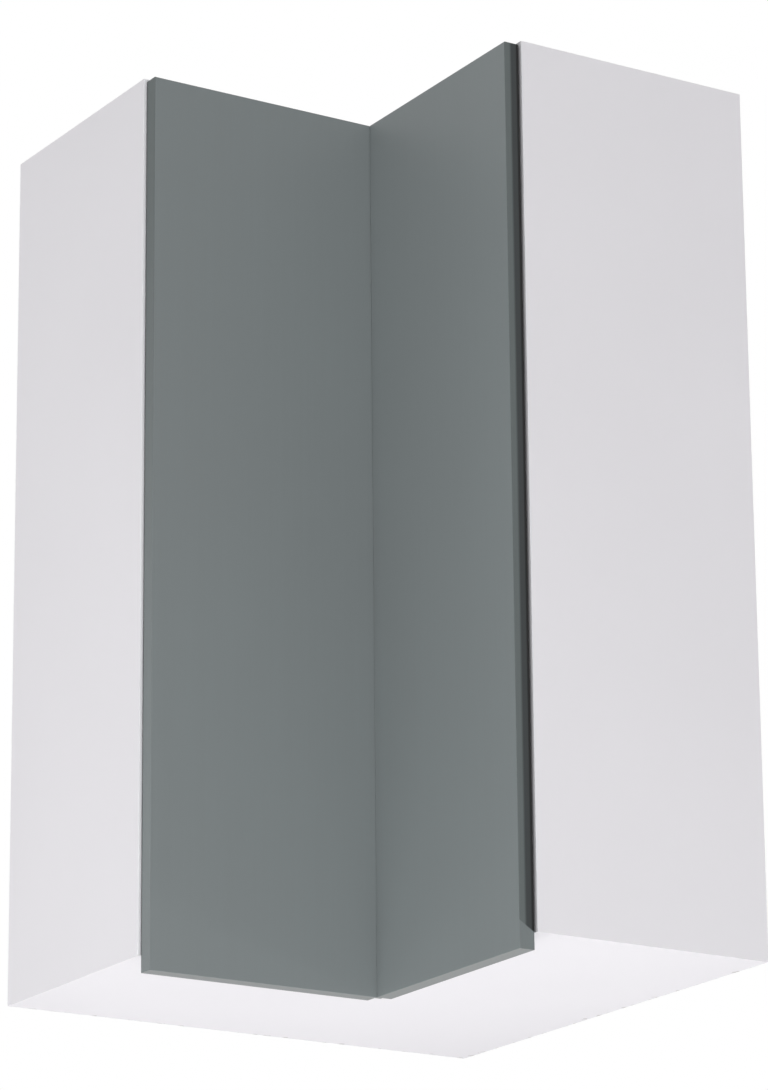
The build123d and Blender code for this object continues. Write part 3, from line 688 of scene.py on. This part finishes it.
bumper_line, stop_levels = 336.4, (8, 992)
left_bumper_line, left_stop_levels = 592, (20, 980)
right_bumpers = set_copies(make_bumper(), "fine_right_bumpers",
                           [((bumper_line, -front_back, level), (0, 1, 0)) for level in stop_levels])
hand_over(right_bumpers, "right_door_bumpers", "right_door", clear_rubber)
left_bumpers = set_copies(make_bumper(), "fine_left_bumpers",
                          [((front_back, -left_bumper_line, level), (-1, 0, 0))
                           for level in left_stop_levels])
hand_over(left_bumpers, "left_door_bumpers", "left_door", clear_rubber)

# %% [markdown]
# ## Pressed and moulded pieces
# A stamped arm or a moulded housing never has a knife edge: the press rolls it, the mould rounds it. Each
# of these pieces starts as a copy of its CAD node. The copy's loose triangles are merged and its flat faces
# joined, and then a bevel rounds only the edges that turn by more than a set angle.

# %% Rounded copies
def merged_copy(node_name):
    """A copy of a CAD node as one clean mesh, to be worked on."""
    piece = bpy.data.objects.new("fine_" + node_name, nodes[node_name].data.copy())
    bpy.context.scene.collection.objects.link(piece)
    leave_only(piece)
    bpy.ops.object.mode_set(mode="EDIT")
    bpy.ops.mesh.select_mode(type="EDGE")
    bpy.ops.mesh.select_all(action="SELECT")
    bpy.ops.mesh.remove_doubles(threshold=0.00001)
    bpy.ops.mesh.dissolve_limited(angle_limit=radians(0.5))
    bpy.ops.mesh.select_all(action="DESELECT")
    bpy.ops.object.mode_set(mode="OBJECT")
    return piece


def roll_edges(piece, width, angle=40):
    """Round every edge that turns by more than the angle, by a width in mm."""
    leave_only(piece)
    bevel = piece.modifiers.new("rolled_edges", "BEVEL")
    bevel.width = width * MM
    bevel.segments = 2
    bevel.limit_method = "ANGLE"
    bevel.angle_limit = radians(angle)
    bpy.ops.object.modifier_apply(modifier=bevel.name)
    return piece


rounded_pieces = (
    ("hinge_plates", "carcass", "zinc_casting", zinc_casting, 0.35),
    ("fold_plates", "right_door", "zinc_casting", zinc_casting, 0.35),
    ("hinge_arms", "carcass", "pressed_steel", pressed_steel, 0.35),
    ("fold_arms", "right_door", "pressed_steel", pressed_steel, 0.35),
    ("hinge_cups", "right_door", "pressed_steel", pressed_steel, 0.30),
    ("fold_cups", "left_door", "pressed_steel", pressed_steel, 0.30),
    ("hinge_arm_links", "swing_arm_links", "pressed_steel", pressed_steel, 0.20),
    ("hinge_cup_links", "swing_cup_links", "pressed_steel", pressed_steel, 0.30),
    ("fold_arm_links", "fold_arm_links", "pressed_steel", pressed_steel, 0.20),
    ("fold_cup_links", "fold_cup_links", "pressed_steel", pressed_steel, 0.30),
    ("hanger_housings", "carcass", "white_plastic", white_plastic, 0.50),
    ("hanger_covers", "carcass", "white_plastic", white_plastic, 0.30),
    ("hanger_hooks", "carcass", "pressed_steel", pressed_steel, 0.35),
    ("shelf_pins", "carcass", "zinc_casting", zinc_casting, 0.30),
)

for node_name, body, slot_name, finish, width in rounded_pieces:
    hand_over(roll_edges(merged_copy(node_name), width), node_name, body, finish)

# %% [markdown]
# The edge bands are trimmed with a small radius, but only along their front: at the back the band has to
# meet the board's face without a groove. So the copy's front edges are picked by their place and bevelled.

# %% Trimmed edge bands
def trim_bands(node_name, front, radius=0.6):
    """A copy of a band node with its long front edges rounded. front is their place, mm from the walls."""
    piece = merged_copy(node_name)
    points = piece.data.vertices
    near, shortest = 1e-5, 0.1      # metres
    for edge in piece.data.edges:
        ends = [points[index].co for index in edge.vertices]
        on_right = all(abs(end.y + front * MM) < near for end in ends)
        on_left = all(abs(end.x - front * MM) < near for end in ends)
        edge.select = (on_right or on_left) and (ends[0] - ends[1]).length > shortest
    bpy.ops.object.mode_set(mode="EDIT")
    bpy.ops.mesh.bevel(offset=radius * MM, segments=3, affect="EDGES")
    bpy.ops.object.mode_set(mode="OBJECT")
    return piece


carcass_front, shelf_front = 296, 271           # mm from the walls
for node_name, front in (("right_end_band", carcass_front), ("left_end_band", carcass_front),
                         ("bottom_bands", carcass_front), ("top_bands", carcass_front),
                         ("lower_shelf_bands", shelf_front), ("upper_shelf_bands", shelf_front)):
    hand_over(trim_bands(node_name, front), node_name, "carcass", band_finish)

# %% [markdown]
# ## The lip in the inner corner
# Where the fronts meet, no light comes through in the photograph, not even below the carcass, and the seam
# is only a shade darker than the faces. So the left front gets a thin lip of the same foil. It runs on from
# its face behind the corner of the right front, and swings inwards when the fronts fold. The CAD model has
# no such lip, and a real cabinet may have none. It starts as a block, and its edges are rounded.

# %% Lip
lip_low, lip_high = (312.0, -318.0, -19.0), (315.96, -308.5, 996.0)     # mm
lip = roll_edges(make_block(lip_low, lip_high), 0.4)
lip.name = "left_front_lip"
smooth(lip)
lip.data.materials.append(front_finish.material)
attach(lip, "left_door")
print("lip:", len(lip.data.polygons), "faces")

# %% [markdown]
# ## Floor, light and background
# A wall cabinet hangs well above the floor, so the floor lies 1.45 m below it and only catches a soft
# shadow. The light is a plain studio: an even white surround and two wide soft lamps, one square on to each
# leg of the L, so that each front shades the gap behind its own outer edge. Weaker lamps from below make
# the boards brighter towards their foot, as in the photograph, and lamps from behind keep the outsides of
# the end panels white. The camera sees the surround as pure white, as do reflections and the clear rubber,
# and the floor fades into it.

# %% Floor
middle_x, middle_y = 0.3, -0.3                  # metres, of the cabinet's plan
floor_level, floor_radius = -1.45, 40
white_near, fade_start, fade_end = 0.6, 1.5, 9  # share of white, growing to 1 between these metres
bpy.ops.mesh.primitive_circle_add(vertices=96, radius=floor_radius, fill_type="NGON",
                                  location=(middle_x, middle_y, floor_level))
floor = bpy.context.object
floor.name = "studio_floor"


def make_floor_finish():
    finish = Finish("studio_floor", Roughness=0.9, Specular_IOR_Level=0.1)
    finish.set("Base Color", finish.mix(finish.noise(0.8), colour(236, 236, 236), colour(240, 240, 240)))
    from_middle = node(finish.tree, "ShaderNodeVectorMath", {"operation": "LENGTH"}, {0: finish.place},
                       "Value")
    seen = node(finish.tree, "ShaderNodeLightPath", output="Is Camera Ray")
    glow = node(finish.tree, "ShaderNodeEmission", {}, {"Color": (1, 1, 1, 1), "Strength": 1.0})
    body = Wire(finish.tree, finish.shader.outputs[0])
    whiteness = seen * (white_near + (1 - white_near) * from_middle.ramp(fade_start, fade_end))
    mixed = node(finish.tree, "ShaderNodeMixShader", {}, {0: whiteness, 1: body, 2: glow})
    finish.tree.links.new(mixed.socket, finish.tree.nodes["Material Output"].inputs["Surface"])
    return finish


floor.data.materials.append(make_floor_finish().material)
print(floor.name, "at", floor_level, "m, with", floor.data.materials[0].name)


# %% World and lamps
def make_world(strength):
    world = bpy.data.worlds.new("studio_surround")
    world.use_nodes = True
    bpy.context.scene.world = world
    tree = world.node_tree
    rays = {name: node(tree, "ShaderNodeLightPath", output=name)
            for name in ("Is Camera Ray", "Is Glossy Ray", "Is Transmission Ray")}
    seen = rays["Is Camera Ray"].either(rays["Is Glossy Ray"]).either(rays["Is Transmission Ray"])
    background = tree.nodes["Background"]
    background.inputs["Color"].default_value = (1, 1, 1, 1)
    tree.links.new((strength + (1 - strength) * seen).socket, background.inputs["Strength"])


def add_lamp(name, place, target, size, power):
    bpy.ops.object.light_add(type="AREA", location=place)
    lamp = bpy.context.object
    lamp.name = name
    lamp.data.size = size
    lamp.data.energy = power
    lamp.rotation_euler = (Vector(target) - Vector(place)).to_track_quat("-Z", "Y").to_euler()
    lamp.visible_camera = False
    print(name, power, "W")


make_world(0.3)
cabinet_middle = (middle_x, middle_y, 0.4)
add_lamp("soft_right_lamp", (5.0, -1.2, 0.3), cabinet_middle, 2.0, 86)
add_lamp("soft_left_lamp", (1.0, -5.0, 0.3), cabinet_middle, 2.0, 62)
add_lamp("lamp_on_the_floor", (0.4, -2.1, -1.38), (0.4, -2.1, 0.0), 1.6, 14)
add_lamp("lamp_underneath", (0.42, -0.26, -1.35), (0.42, -0.26, 0.0), 1.0, 11.5)
add_lamp("rear_right_lamp", (1.9, 3.0, -1.0), (0.6, -0.3, 0.3), 0.4, 12)
add_lamp("rear_left_lamp", (-1.6, -2.8, -0.8), (0.15, -0.6, 0.2), 1.0, 6)
add_lamp("soft_top_rear_lamp", (-0.8, 0.8, 2.4), (0.1, -0.1, 0.9), 1.0, 20)

scene = bpy.context.scene
scene.view_settings.view_transform = "Standard"
